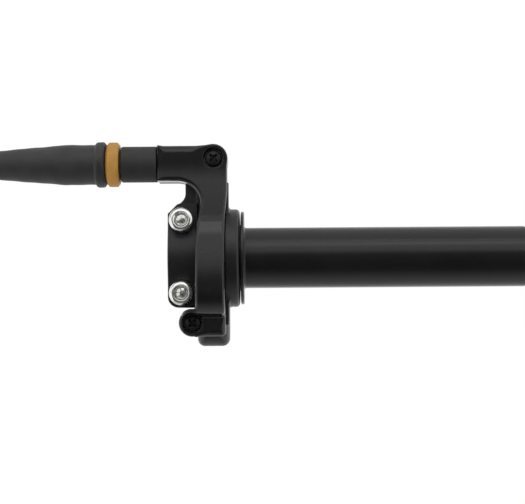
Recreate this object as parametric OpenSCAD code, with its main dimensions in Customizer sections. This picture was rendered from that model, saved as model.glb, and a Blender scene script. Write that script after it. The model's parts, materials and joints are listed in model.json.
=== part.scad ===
// Motorcycle throttle grip: a two-piece clamp housing with a front cover, a twist
// tube with its cable drum, and a cable adjuster with its rubber boot.
//
// Frame: the X axis is the handlebar's axis and +X points to the tube's open end.
// The rider sits on the -Y side, so the cover faces -Y, and +Z is up.
// The origin is on the bar's axis at the clamp's inboard face. Units are millimetres.

/* [Handlebar clamp] */
// Diameter of the handlebar that the clamp closes on
bar_d = 22.2; // [22:0.1:22.4]
// Width of the clamp along the bar
clamp_w = 11.7; // [11.5:0.1:11.9]
// Distance between the two clamp bolts
bolt_pitch = 30; // [29.5:0.5:31]
// Thread diameter of the clamp bolts
bolt_d = 6; // [5:1:6]

/* [Throttle tube] */
// Outside diameter of the tube, which a rubber grip slides onto
tube_od = 25.5; // [25.2:0.1:25.8]
// Inside diameter of the tube, which turns on the bar
tube_id = 22.6; // [22.5:0.1:22.8]
// Length of the tube outside its flange
tube_len = 118.3; // [100:1:130]
// Diameter of the thin disc at the tube's root
flange_d = 39.2; // [36:0.2:40]
// Diameter of the neck that turns in the housing
neck_d = 28; // [27.6:0.2:28.4]

/* [Drum and chamber] */
// Radius at which the drum pulls the cable
pull_r = 17.5; // [17:0.1:17.6]
// Radius of the drum's two rims
drum_r = 19; // [18.6:0.1:19.2]
// Throttle opening, from closed to fully open, in degrees
twist_range = 75; // [60:1:80]
// Outside diameter of the round cup beside the cover
cup_d = 41.2; // [40.8:0.2:42]

/* [Cable outlet and adjuster] */
// Height of the cable's axis above the bar's axis
cable_z = 38.7; // [38.3:0.1:39]
// Diameter of the outlet sleeve
sleeve_d = 14.9; // [14:0.05:15]
// Diameter of the knurled lock nut
nut_d = 18.5; // [17:0.1:19]
// Diameter of the adjuster's thread
adjuster_d = 8; // [7:0.5:8]

/* [Boot] */
// Diameter of the boot's straight part
boot_d = 16.4; // [15.6:0.1:17]
// Diameter of the boot's rim bead
bead_d = 18.7; // [17.8:0.1:19.2]
// Length of the tapered part
taper_len = 52; // [40:1:60]
// Diameter of the hole at the small end, which the cable casing passes through
cable_hole_d = 5.8; // [5.6:0.1:6]

/* [Hidden] */
$fn = 96;
eps = 0.01;        // how far a cutting shape runs past the face it cuts
run_gap = 0.06;    // radial clearance of a running fit
free_gap = 0.35;   // space between pieces that move past each other
seat_gap = 0.02;   // radial clearance of a pin, pressed ring or screw in its own hole

// Planes across Y, from the front to the back
crown_y = -26;     // front of the cover over the drum
face_y = -16.4;    // flat front of the outlet arm
lobe_y = -14.6;    // front of the lower screw's lobe
clamp_y = -14;     // flats that the bolt heads sit on
part_y = -10;      // the cover meets the front half here, level with the cable
gasket_t = 0.4;
web_y0 = -8.5;     // front of the web beside the cover
arm_back_y = -3.6; // back of the outlet arm and web
boss_back_y = -2.4;
lobe_back_y = -1;
rear_y = 14.5;     // back of the rear half's bolt bosses
split_gap = 1;     // slot between the clamp halves

// Stations along X
cover_x0 = clamp_w;   // drum part of the cover
cover_x1 = 23.7;
neck_x0 = 13.6;    // narrower part of the cover above the drum
neck_x1 = 24.6;
body_x1 = 25;      // outboard face of the housing beside the cover
cup_x0 = cover_x1 + 0.05;
cup_x1 = 29.4;     // lip of the cup
chamber_x0 = 13.6;
chamber_x1 = 22.8;
bush_x0 = 24.3;
seal_x0 = 27.4;
flange_x0 = 29.95;
flange_t = 1.35;
tube_x0 = 14.3;    // inboard end of the tube, inside the drum
tube_x1 = flange_x0 + flange_t + tube_len;
drum_x0 = 14.2;
drum_x1 = 22.4;
washer_x0 = 12.8;
washer_t = 1.1;
bar_seal_x0 = 8.2;
bar_seal_w = 2.4;

// Radii about the bar's axis
bar_bore_r = bar_d / 2 + 0.05;
clamp_r = 16.2;    // crown of the clamp halves
chamber_r = 19.9;
chamber_out_r = 21.8;
spigot_r = 13.1;   // part of the tube that carries the drum
bush_r = 16.6;     // pocket of the neck bush
seal_r = 17.6;     // pocket of the dust seal
bar_seal_r = 12.7; // groove of the felt ring on the bar
washer_r = 14.25;

// Cover and housing outlines, as [x, z] centres and radii
upper_screw = [19, 40.5];
lower_screw = [10.1, -27.2];
boss_r = 5.7;
arm_h = 15.1;
arm_x0 = -4.1;
throat = [4, 21.5];     // centre of the concave curve under the arm
throat_r = 9.7;
notch = [2.4, 26.7];    // centre of the housing's own notch under the arm
notch_r = 4.6;
shoulders = [12.5, 17, 27];  // heights at which the cover narrows to its neck
cover_z0 = -32.8;
foot_z = -24.8;    // below this height the cover is cut back
lug_z0 = -37;
lug_r = 3;
lug_depth = 9;     // how far the lug reaches behind the bar's axis
clamp_z0 = -20.8;
shoulder_z = 31;   // the housing's side wall is full width below this height

// Cable path: along the arm, round one bend, then leaning forward to the drum
cable_y = -10;
cable_lean = asin(pull_r / norm([cable_y, cable_z])) - atan(-cable_y / cable_z);
bend_r = 14;
bend_x = 4.3;
guide_r = 2.3;
guide_bore_r = 1.4;
channel_x0 = 2.7;
channel_drop = 28;      // how far the channel runs below the arm's axis

// Outlet sleeve, adjuster and boot stations along X
sleeve_x0 = -19.5;
sleeve_x1 = -4.5;
sleeve_depth = 13;      // of its threaded hole
spigot_x1 = 2.8;
collar_x = [-1.2, 0.8];
socket_r = 4.6;
collar_r = 5.6;
nut_x1 = -20;
nut_x0 = -25.2;
head_x1 = nut_x0 - 0.45;
head_x0 = -35.6;
head_r = 5.6;
head_bore_r = 4.2;
stem_x1 = -8.5;
bead_x1 = head_x1 - 0.05;
bead_w = 3.8;
straight_x0 = -43.1;
taper_x0 = straight_x0 - taper_len;
boot_end_r = 3.6;
collar_len = 5;
boot_x0 = taper_x0 - collar_len;

// Fasteners and pins
bolt_head_d = 10;
bolt_head_h = 6;
bolt_len = 25;
bolt_socket = 5;
bolt_x = 5.8;
screw_d = 4;
screw_len = 10;
screw_head_d = 6.8;
screw_head_h = 2.2;
counterbore_d = 8.2;
upper_seat_y = face_y + screw_head_h + 0.3;   // where the upper screw's head sits
lower_seat_y = lobe_y + screw_head_h + 0.2;
thread_boss_r = 4;      // boss behind the arm for the upper screw's thread
dowel_r = 1.5;
dowels = [[18.4, -31.5], [2, -17.8]];
key_x = 1.9;            // pin that stops the sleeve from turning
key_r = 0.8;
key_y = [-7.7, -4.2];
stop_pin_r = 1.5;
stop_orbit = 16.2;
stop_at = stop_orbit * [cos(twist_range / 2), -sin(twist_range / 2)];   // [y, z], closed
stop_x0 = 11.9;         // bottom of the arc slot that the stop pin runs in
stop_x1 = 15.7;         // other end of the pin, inside the drum's rim
grub_r = 1;
grub_turns = [-30, -90, -150];
nipple_turn = -28;      // where the cable's barrel end sits when the throttle is closed

// ---------- helpers ----------

// An outline in the X-Z plane, thickened from y0 to y1.
module plate(y0, y1) {
    translate([0, y1, 0]) rotate([90, 0, 0]) linear_extrude(y1 - y0) children();
}

// A profile in the Y-Z plane, drawn out from x0 to x1.
module along_x(x0, x1) {
    translate([x0, 0, 0]) rotate([90, 0, 90]) linear_extrude(x1 - x0) children();
}

// A cylinder parallel to the bar, centred on [y, z].
module x_rod(r, x0, x1, y = 0, z = 0) {
    translate([x0, y, z]) rotate([0, 90, 0]) cylinder(r = r, h = x1 - x0);
}

// A ring round the bar.
module x_ring(r_out, r_in, x0, x1) {
    difference() {
        x_rod(r_out, x0, x1);
        x_rod(r_in, x0 - 1, x1 + 1);
    }
}

// A cylinder parallel to Y, centred on at = [x, z].
module y_rod(r, y0, y1, at = [0, 0]) {
    translate([at[0], y1, at[1]]) rotate([90, 0, 0]) cylinder(r = r, h = y1 - y0);
}

// A solid of revolution about the bar's axis. Points are [radius, x].
module about_bar(points) {
    rotate([0, 90, 0]) rotate_extrude() polygon(points);
}

// The same about the cable's axis in the outlet arm.
module about_cable(points) {
    translate([0, cable_y, cable_z]) about_bar(points);
}

module at_bolts() {
    for (side = [-1, 1]) translate([bolt_x, 0, side * bolt_pitch / 2]) children();
}

// ---------- outlines ----------

// Outline of the front cover, pulled in by d.
module cover_outline(d = 0) {
    corner_r = 2;
    difference() {
        union() {
            // arm, with the upper screw's boss at its corner
            translate([arm_x0, cable_z - arm_h / 2 + d])
                square([upper_screw[0] - arm_x0, arm_h - 2 * d]);
            translate(upper_screw) circle(boss_r - d);
            // web that the throat is cut from, and the neck
            translate(throat) square([neck_x0 + d + eps - throat[0], throat_r + 2 * d]);
            translate([neck_x0 + d, 14])
                square([neck_x1 - neck_x0 - 2 * d, upper_screw[1] - 14]);
            // drum part, with its two sloping shoulders
            polygon([
                [neck_x0 + d, throat[1]], [cover_x0 + d, shoulders[0]],
                [cover_x0 + d, cover_z0 + 3], [cover_x1 - d, cover_z0 + 3],
                [cover_x1 - d, shoulders[1]], [neck_x1 - d, shoulders[2]]
            ]);
            // foot, with a round corner on one side and the lower screw's lobe on the other
            translate([lower_screw[0], cover_z0 + d])
                square([cover_x1 - corner_r - lower_screw[0], 4]);
            translate([cover_x1 - corner_r, cover_z0 + corner_r]) circle(corner_r - d);
            translate([cover_x1 - 3, cover_z0 + corner_r]) square([3 - d, 3]);
            translate(lower_screw) circle(boss_r - d);
        }
        translate(throat) circle(throat_r + d);
    }
}

// Outline of the web and clamp beside the cover. A round notch runs into a straight
// edge at 45 degrees.
module web_outline() {
    corner_r = 5;
    tangent = notch + notch_r * [cos(45), -sin(45)];
    difference() {
        polygon([
            [0, clamp_z0 + corner_r], [0, tangent[1] - tangent[0]], tangent,
            notch + [notch_r, 0], [notch[0] + notch_r, cable_z - 4], [20, cable_z - 4],
            [20, clamp_z0], [corner_r, clamp_z0]
        ]);
        translate(notch) circle(notch_r);
    }
    translate([corner_r, clamp_z0 + corner_r]) circle(corner_r);
}

// Outline of the housing beside and below the cover.
module side_outline(top_z) {
    translate([cover_x0, lug_z0 + lug_r])
        square([body_x1 - cover_x0, top_z - lug_z0 - lug_r]);
    translate([cover_x0 + lug_r, lug_z0])
        square([body_x1 - cover_x0 - 2 * lug_r, 2 * lug_r]);
    for (x = [cover_x0 + lug_r, body_x1 - lug_r])
        translate([x, lug_z0 + lug_r]) circle(lug_r);
}

// Side profile of the cover in the Y-Z plane: flat up the arm, leaning forward down
// the neck, a shallow crown over the drum that is deepest near its foot, then the foot.
module cover_profile() {
    crown_r = 75;
    crown_z = -17;
    crown_top = 15;
    neck_top = 35;
    heel_r = 6;        // rounding where the crown turns back to the foot
    back_y = part_y - gasket_t;
    crown_top_y = crown_y + crown_r - sqrt(pow(crown_r, 2) - pow(crown_top - crown_z, 2));
    heel = [crown_y + heel_r, foot_z + heel_r];
    polygon([
        [face_y, 60], [face_y, neck_top], [crown_top_y, crown_top], [back_y, crown_top],
        [back_y, 60]
    ]);
    intersection() {
        translate([crown_y + crown_r, crown_z]) circle(crown_r, $fn = 360);
        union() {
            translate([crown_y, heel[1]]) square([back_y - crown_y, crown_top - heel[1]]);
            translate([heel[0], foot_z]) square([back_y - heel[0], 2 * heel_r]);
            translate(heel) circle(heel_r);
        }
    }
    polygon([
        [back_y, foot_z], [lobe_y - 0.9, foot_z], [lobe_y + 0.9, cover_z0 - 1],
        [back_y, cover_z0 - 1]
    ]);
}

// Clamp half in the Y-Z plane: a crown round the bar between two flat bolt seats.
module clamp_profile() {
    circle(clamp_r);
    translate([clamp_y, -22]) square([-clamp_y, 44]);
}

// The cable's path seen square on, as a band of half-width r: two straight lengths and
// a quarter bend. Its height is measured from the arm's axis.
module channel_outline(r) {
    translate([channel_x0, -r]) square([bend_x - channel_x0 + eps, 2 * r]);
    translate([bend_x + bend_r - r, -channel_drop])
        square([2 * r, channel_drop - bend_r + eps]);
    translate([bend_x, -bend_r]) intersection() {
        difference() {
            circle(bend_r + r);
            circle(bend_r - r);
        }
        square(bend_r + r + 1);
    }
}

// The leaning plane that the cable's path lies in.
module on_cable_plane() {
    translate([0, cable_y, cable_z]) rotate([-cable_lean, 0, 0]) children();
}

// A sector of the Y-Z plane between two angles, measured from +Y towards +Z.
module sector(a0, a1, r) {
    step = (a1 - a0) / 8;
    polygon(concat([[0, 0]], [for (i = [0:8]) r * [cos(a0 + i * step), sin(a0 + i * step)]]));
}

// ---------- what is taken out of the castings ----------

// The space that the bar, the tube, the drum and their rings take up.
module bar_space() {
    x_rod(bar_bore_r, -1, chamber_x0 + eps);
    x_rod(bar_seal_r, bar_seal_x0, bar_seal_x0 + bar_seal_w);
    x_rod(washer_r + seat_gap, washer_x0, chamber_x0 + eps);
    stop_slot();
    x_rod(chamber_r, chamber_x0, chamber_x1);
    x_rod(neck_d / 2 + free_gap, chamber_x1 - eps, bush_x0 + eps);
    x_rod(bush_r, bush_x0, seal_x0 + eps);
    x_rod(seal_r, seal_x0, cup_x1 + 1);
}

// Arc slot whose ends stop the pin in the drum.
module stop_slot() {
    half = twist_range / 2 + asin((stop_pin_r + free_gap) / stop_orbit);
    intersection() {
        x_ring(stop_orbit + stop_pin_r + free_gap, stop_orbit - stop_pin_r - free_gap,
            stop_x0, chamber_x0 + eps);
        along_x(stop_x0 - 1, chamber_x0 + 1) sector(-half, half, 40);
    }
}

// The cable's channel, reaching back behind the path by depth.
module cable_channel(depth) {
    wall = guide_r + 0.1;
    on_cable_plane() plate(-wall, depth) channel_outline(wall);
}

// The stepped hole that holds the outlet sleeve's spigot and collar.
module sleeve_socket(clear = 0.05) {
    x_rod(socket_r + clear, arm_x0 - 1, spigot_x1 + clear, cable_y, cable_z);
    x_rod(collar_r + clear, collar_x[0] - clear, collar_x[1] + clear, cable_y, cable_z);
}

module dowel_holes() {
    for (at = dowels) y_rod(dowel_r + seat_gap, -4.5, 4.5, at);
}

// Round cup beside the cover, with a chamfered lip.
module cup() {
    r = cup_d / 2;
    c = 1.2;
    about_bar([
        [0, cup_x0], [r, cup_x0], [r, cup_x1 - c], [r - c, cup_x1], [0, cup_x1]
    ]);
}

// Room for the cup, cut out of what lies against it.
module cup_room() {
    x_rod(cup_d / 2 + 0.05, cup_x0 - 0.05, cup_x1);
}

// ---------- housing ----------

module housing_front() {
    back = -split_gap / 2;
    color([0.12, 0.12, 0.125]) difference() {
        union() {
            plate(part_y, arm_back_y) cover_outline(0.1);
            y_rod(thread_boss_r, arm_back_y - eps, boss_back_y, upper_screw);
            plate(web_y0, arm_back_y) web_outline();
            plate(part_y, 0) side_outline(chamber_out_r - 2);
            plate(part_y, arm_back_y) side_outline(shoulder_z);
            intersection() {
                along_x(cover_x0, body_x1) circle(chamber_out_r);
                translate([0, part_y, -30]) cube([40, -part_y, 60]);
            }
            plate(part_y, lobe_back_y) lobe_outline();
            intersection() {
                along_x(0, cover_x0 + eps) clamp_profile();
                plate(-30, back) web_outline();
            }
            cup();
        }
        bar_space();
        translate([-50, 0, -60]) cube([200, 60, 120]);
        translate([-1, back, -60]) cube([cover_x0 + 1, 10, 120]);
        sleeve_socket();
        cable_channel(guide_r + 0.1);
        at_bolts() y_rod(bolt_d / 2 + 0.2, clamp_y - 1, 1);
        at_bolts() y_rod(bolt_head_d / 2 + 0.6, -30, clamp_y);
        y_rod(screw_d / 2, part_y - 1, upper_seat_y + screw_len + 0.4, upper_screw);
        y_rod(screw_d / 2, part_y - 1, lower_seat_y + screw_len + 0.4, lower_screw);
        dowel_holes();
        y_rod(key_r + seat_gap, key_y[0] - 0.1, key_y[1] + 0.1, [key_x, cable_z]);
    }
}

// The part of the cover's outline round its lower screw.
module lobe_outline() {
    intersection() {
        cover_outline();
        translate([0, cover_z0 - 1]) square([cover_x0 + 2, 14]);
    }
}

module housing_rear() {
    front = split_gap / 2;
    boss_h = 11.6;
    color([0.12, 0.12, 0.125]) difference() {
        union() {
            intersection() {
                along_x(0, cover_x0 + eps) {
                    circle(clamp_r);
                    for (side = [-1, 1])
                        translate([0, (side * bolt_pitch - boss_h) / 2]) square([rear_y, boss_h]);
                }
                translate([-1, front, -25]) cube([16, 30, 50]);
            }
            along_x(cover_x0, body_x1) {
                circle(chamber_out_r);
                translate([0, lug_z0 + lug_depth]) circle(lug_depth);
                translate([0, lug_z0 + lug_depth]) square([lug_depth, lug_depth]);
            }
            cup();
        }
        bar_space();
        translate([-50, -60, -60]) cube([200, 60, 120]);
        at_bolts() y_rod(bolt_d / 2 + seat_gap, -1, clamp_y + bolt_len + 1);
        dowel_holes();
    }
}

module front_cover() {
    color([0.09, 0.09, 0.095]) difference() {
        intersection() {
            plate(-40, part_y - gasket_t) cover_outline();
            along_x(-10, 40) cover_profile();
        }
        bar_space();
        cup_room();
        cable_channel(20);
        sleeve_socket();
        for (at = [upper_screw, lower_screw]) y_rod(screw_d / 2 + 0.15, -40, 0, at);
        y_rod(counterbore_d / 2, -40, upper_seat_y, upper_screw);
        y_rod(counterbore_d / 2, -40, lower_seat_y, lower_screw);
    }
}

module cover_gasket() {
    color([0.16, 0.16, 0.16]) difference() {
        plate(part_y - gasket_t, part_y) cover_outline(0.3);
        bar_space();
        cup_room();
        cable_channel(20);
        sleeve_socket(0.1);
        for (at = [upper_screw, lower_screw]) y_rod(screw_d / 2 + 0.15, -40, 0, at);
    }
}

// One pan-head screw with a cross recess. seat_y is where its head sits.
module cover_screw(at, seat_y) {
    top_y = seat_y - screw_head_h;
    edge = 0.5;
    slot = [4, 1.4, 0.9];
    difference() {
        union() {
            y_rod(screw_d / 2 - seat_gap, seat_y - eps, seat_y + screw_len, at);
            y_rod(screw_head_d / 2, top_y + edge, seat_y, at);
            y_rod(screw_head_d / 2 - edge, top_y, seat_y, at);
        }
        for (turn = [45, 135])
            translate([at[0], top_y - eps, at[1]]) rotate([0, turn, 0])
                translate([-slot[0] / 2, 0, -slot[2] / 2]) cube(slot);
    }
}

module cover_screws() {
    color([0.1, 0.1, 0.1]) {
        cover_screw(upper_screw, upper_seat_y);
        cover_screw(lower_screw, lower_seat_y);
    }
}

module clamp_bolts() {
    top_y = clamp_y - bolt_head_h;
    edge = 0.6;
    color([0.85, 0.85, 0.83]) at_bolts() difference() {
        union() {
            y_rod(bolt_d / 2, clamp_y - eps, clamp_y + bolt_len);
            y_rod(bolt_head_d / 2, top_y + edge, clamp_y);
            y_rod(bolt_head_d / 2 - edge, top_y, clamp_y);
        }
        translate([0, top_y + 3, 0]) rotate([90, 0, 0])
            cylinder(d = bolt_socket / cos(30), h = 4, $fn = 6);
    }
}

module locating_dowels() {
    color([0.7, 0.7, 0.72]) for (at = dowels) y_rod(dowel_r, -4, 4, at);
}

// ---------- cable outlet ----------

// Curved tube that leads the cable round the bend.
module cable_guide() {
    reach = bend_r + guide_r + 1;
    color([0.92, 0.92, 0.88]) on_cable_plane() translate([bend_x, 0, -bend_r]) intersection() {
        rotate([90, 200, 0]) rotate_extrude() translate([bend_r, 0]) difference() {
            circle(guide_r);
            circle(guide_bore_r);
        }
        translate([0, -reach, 0]) cube([reach, 2 * reach, reach]);
    }
}

module sleeve_key() {
    color([0.7, 0.7, 0.72]) y_rod(key_r, key_y[0], key_y[1], [key_x, cable_z]);
}

// Sleeve with a collar that the arm and the cover close on.
module outlet_sleeve() {
    thread_r = adjuster_d / 2 + run_gap;
    bore_r = 1.8;
    r = sleeve_d / 2;
    edge = 0.5;
    color([0.2, 0.2, 0.2]) difference() {
        about_cable([
            [bore_r, sleeve_x0 + sleeve_depth], [bore_r, spigot_x1], [socket_r, spigot_x1],
            [socket_r, collar_x[1]], [collar_r, collar_x[1]], [collar_r, collar_x[0]],
            [socket_r, collar_x[0]], [socket_r, sleeve_x1], [r, sleeve_x1],
            [r, sleeve_x0 + edge], [r - edge, sleeve_x0], [thread_r, sleeve_x0],
            [thread_r, sleeve_x0 + sleeve_depth]
        ]);
        y_rod(key_r + seat_gap, key_y[0] - 0.1, key_y[1] + 0.1, [key_x, cable_z]);
    }
}

module lock_nut() {
    r = nut_d / 2;
    thread_r = adjuster_d / 2 + run_gap;
    edge = 0.6;
    flutes = 24;
    color([0.78, 0.56, 0.24]) difference() {
        about_cable([
            [thread_r, nut_x0], [r - edge, nut_x0], [r, nut_x0 + edge], [r, nut_x1 - edge],
            [r - edge, nut_x1], [thread_r, nut_x1]
        ]);
        translate([0, cable_y, cable_z]) for (i = [1:flutes]) rotate([i * 360 / flutes, 0, 0])
            x_rod(0.5, nut_x0 - 1, nut_x1 + 1, r + 0.3);
    }
}

// Threaded stem, and the round head that the boot's mouth grips.
module adjuster_barrel() {
    stem_r = adjuster_d / 2;
    bore_r = 1.7;
    edge = 0.4;
    seat_x = head_x0 + 9;
    color([0.78, 0.56, 0.24]) about_cable([
        [bore_r, seat_x], [bore_r, stem_x1], [stem_r - edge, stem_x1],
        [stem_r, stem_x1 - edge], [stem_r, head_x1], [head_r - edge, head_x1],
        [head_r, head_x1 - edge], [head_r, head_x0 + edge], [head_r - edge, head_x0],
        [head_bore_r, head_x0], [head_bore_r, seat_x]
    ]);
}

// Cup inside the head that takes the end of the cable's casing.
module ferrule_seat() {
    r = head_bore_r - run_gap;
    mouth_x = head_x0 + 0.9;
    floor_x = mouth_x + 6.5;
    back_x = head_x0 + 8.95;
    color([0.75, 0.75, 0.76]) about_cable([
        [1.3, floor_x], [1.3, back_x], [r, back_x], [r, mouth_x], [2.8, mouth_x], [2.8, floor_x]
    ]);
}

// Snap ring that keeps the ferrule seat in the head.
module barrel_clip() {
    r = head_bore_r - seat_gap;
    color([0.6, 0.6, 0.62]) about_cable([
        [3.3, head_x0 + 0.05], [3.3, head_x0 + 0.55], [r, head_x0 + 0.55], [r, head_x0 + 0.05]
    ]);
}

module cable_boot() {
    r = boot_d / 2;
    rim = bead_d / 2;
    round = 0.9;
    mouth_r = head_r + free_gap;
    hole_r = cable_hole_d / 2;
    color([0.17, 0.17, 0.17]) about_cable([
        [mouth_r, bead_x1], [rim - round, bead_x1], [rim, bead_x1 - round],
        [rim, bead_x1 - bead_w + round], [rim - round, bead_x1 - bead_w],
        [r, bead_x1 - bead_w - 0.4], [r, straight_x0], [boot_end_r + 0.4, taper_x0],
        [boot_end_r + 0.6, taper_x0 - 1], [boot_end_r + 0.6, boot_x0 + 0.6],
        [boot_end_r, boot_x0], [hole_r, boot_x0], [hole_r, taper_x0 + 4],
        [mouth_r, straight_x0 - 4]
    ]);
}

// ---------- inside the housing ----------

// Washer between the drum and the housing's inboard wall.
module thrust_washer() {
    color([0.9, 0.9, 0.86])
        x_ring(washer_r, bar_bore_r + 0.3, washer_x0, washer_x0 + washer_t);
}

module neck_bush() {
    color([0.72, 0.55, 0.3])
        x_ring(bush_r - seat_gap, neck_d / 2 + run_gap, bush_x0, seal_x0);
}

module dust_seal() {
    color([0.13, 0.13, 0.13])
        x_ring(seal_r - seat_gap, neck_d / 2 + free_gap, seal_x0, cup_x1 - 0.3);
}

// Felt ring that keeps grit out along the bar.
module bar_seal() {
    color([0.3, 0.3, 0.3])
        x_ring(bar_seal_r - seat_gap, bar_bore_r, bar_seal_x0, bar_seal_x0 + bar_seal_w);
}

module throttle_tube() {
    r = tube_od / 2;
    rim = flange_d / 2;
    root = 0.9;
    edge = 0.15;
    tip = 0.6;
    flange_x1 = flange_x0 + flange_t;
    color([0.14, 0.14, 0.14]) difference() {
        about_bar([
            [tube_id / 2, tube_x0], [spigot_r, tube_x0], [spigot_r, drum_x1],
            [neck_d / 2, drum_x1], [neck_d / 2, flange_x0], [rim - edge, flange_x0],
            [rim, flange_x0 + edge], [rim, flange_x1 - edge], [rim - edge, flange_x1],
            [r + root, flange_x1], [r + 0.3 * root, flange_x1 + 0.3 * root],
            [r, flange_x1 + root], [r, tube_x1 - tip], [r - tip, tube_x1], [tube_id / 2, tube_x1]
        ]);
        grub_holes(seat_gap);
    }
}

// Grooved drum with a pocket for the cable's barrel end.
module cable_drum() {
    groove_r = pull_r - 0.9;
    rim_w = 1.6;
    slope = 1.3;
    bore_r = spigot_r + seat_gap;
    color([0.82, 0.82, 0.8]) difference() {
        about_bar([
            [bore_r, drum_x0], [drum_r, drum_x0], [drum_r, drum_x0 + rim_w],
            [groove_r, drum_x0 + rim_w + slope], [groove_r, drum_x1 - rim_w - slope],
            [drum_r, drum_x1 - rim_w], [drum_r, drum_x1], [bore_r, drum_x1]
        ]);
        rotate([nipple_turn, 0, 0]) {
            x_rod(2.6, drum_x0 + 1.2, drum_x1 + 1, -16.2);
            x_rod(2.2, drum_x0 + 2.2, drum_x1 + 1, -20);
        }
        x_rod(stop_pin_r + seat_gap, drum_x0 - 1, stop_x1 + 0.05, stop_at[0], stop_at[1]);
        grub_holes(seat_gap);
    }
}

module stop_pin() {
    color([0.7, 0.7, 0.72])
        x_rod(stop_pin_r, stop_x0 + 0.4, stop_x1, stop_at[0], stop_at[1]);
}

// Grub screws that lock the drum on the tube, and their holes.
module grub_holes(clear) {
    for (turn = grub_turns) rotate([turn, 0, 0])
        translate([(drum_x0 + drum_x1) / 2, 0, 12]) cylinder(r = grub_r + clear, h = 5);
}

module drum_screws() {
    color([0.7, 0.7, 0.72]) for (turn = grub_turns) rotate([turn, 0, 0])
        translate([(drum_x0 + drum_x1) / 2, 0, 12.05]) cylinder(r = grub_r, h = 4);
}

housing_front();
housing_rear();
front_cover();
cover_gasket();
cover_screws();
clamp_bolts();
locating_dowels();
cable_guide();
outlet_sleeve();
sleeve_key();
thrust_washer();
neck_bush();
dust_seal();
bar_seal();
throttle_tube();
cable_drum();
drum_screws();
stop_pin();
lock_nut();
adjuster_barrel();
ferrule_seat();
barrel_clip();
cable_boot();
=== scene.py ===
"""Motorcycle throttle grip: detailed pieces, materials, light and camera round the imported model.

Shapes are worked out in millimetres in the model's own frame and turned into metres when
they become meshes. The bar's axis is X, the cover faces -Y and +Z is up.
"""
import json
import math

import bpy
import numpy as np
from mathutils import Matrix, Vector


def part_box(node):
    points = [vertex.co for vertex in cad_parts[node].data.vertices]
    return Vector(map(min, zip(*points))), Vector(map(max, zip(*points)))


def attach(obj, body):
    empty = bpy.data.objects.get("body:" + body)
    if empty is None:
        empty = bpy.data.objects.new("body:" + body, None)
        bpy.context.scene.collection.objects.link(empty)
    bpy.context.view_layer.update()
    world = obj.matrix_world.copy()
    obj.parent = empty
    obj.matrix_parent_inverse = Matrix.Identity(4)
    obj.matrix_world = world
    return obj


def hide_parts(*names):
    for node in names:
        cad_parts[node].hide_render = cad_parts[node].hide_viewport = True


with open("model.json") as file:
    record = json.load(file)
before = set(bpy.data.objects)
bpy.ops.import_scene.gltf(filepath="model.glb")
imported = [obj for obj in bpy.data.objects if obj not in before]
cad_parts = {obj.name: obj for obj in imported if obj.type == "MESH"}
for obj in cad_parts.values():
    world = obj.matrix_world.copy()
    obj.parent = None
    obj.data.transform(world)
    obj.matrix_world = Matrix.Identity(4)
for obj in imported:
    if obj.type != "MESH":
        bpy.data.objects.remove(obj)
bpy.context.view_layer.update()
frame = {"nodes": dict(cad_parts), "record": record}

import openvdb as vdb
from mathutils import Matrix, Vector

MM = 0.001
NODES = frame["nodes"]


def node_box(node):
    """Lowest and highest corners of a CAD node, in mm."""
    low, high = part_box(node)
    return np.array(low) / MM, np.array(high) / MM


# ---------- sizes in mm, from the frame and from the part's design ----------

COVER_LOW, COVER_HIGH = node_box("front_cover")
FRONT_LOW, FRONT_HIGH = node_box("housing_front")
REAR_LOW, REAR_HIGH = node_box("housing_rear")
TUBE_LOW, TUBE_HIGH = node_box("throttle_tube")
SLEEVE_LOW, SLEEVE_HIGH = node_box("outlet_sleeve")
NUT_LOW, NUT_HIGH = node_box("lock_nut")
BOOT_LOW, BOOT_HIGH = node_box("cable_boot")
BOLT_LOW, BOLT_HIGH = node_box("clamp_bolts")
SCREW_LOW, SCREW_HIGH = node_box("cover_screws")
DRUM_X1 = node_box("cable_drum")[1][0]

CABLE_Y = (SLEEVE_LOW[1] + SLEEVE_HIGH[1]) / 2
CABLE_Z = (SLEEVE_LOW[2] + SLEEVE_HIGH[2]) / 2

# planes across Y
CROWN_Y = COVER_LOW[1]
COVER_BACK_Y = COVER_HIGH[1]
PART_Y = COVER_BACK_Y + 0.4        # behind the gasket
FACE_Y = -16.4
FACE_SLOPE = 0.05                  # the arm's flat face looks down a little
LOBE_Y = -14.6
CLAMP_Y = -14
WEB_Y = -8.5
ARM_BACK_Y = -3.6
LOBE_BACK_Y = -1
REAR_BOSS_Y = 14.5
REAR_BOSS_Z = (9.2, 20.8)
HALF_SPLIT = 0.5                   # half of the gap between the clamp's halves
BOLT_HOLE_Y1 = 12
SCREW_HOLE_Y1 = -3.5

# stations along X
ARM_X0 = COVER_LOW[0]
COVER_X0 = 11.7
COVER_X1 = 23.7
NECK_X0 = 13.6
NECK_X1 = 24.6
BODY_X1 = 25
CUP_X0 = 23.75
CUP_X1 = FRONT_HIGH[0]
WEB_X1 = 20
FELT_X = (8.2, 10.6)
WASHER_X = (12.8, 14.5)
CHAMBER_X = (13.6, 22.8)
NECK_X = (20, 25)
BUSH_X = (24.3, 28)
SEAL_X = (27.4, 60)                # open to the cup's mouth

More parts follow.
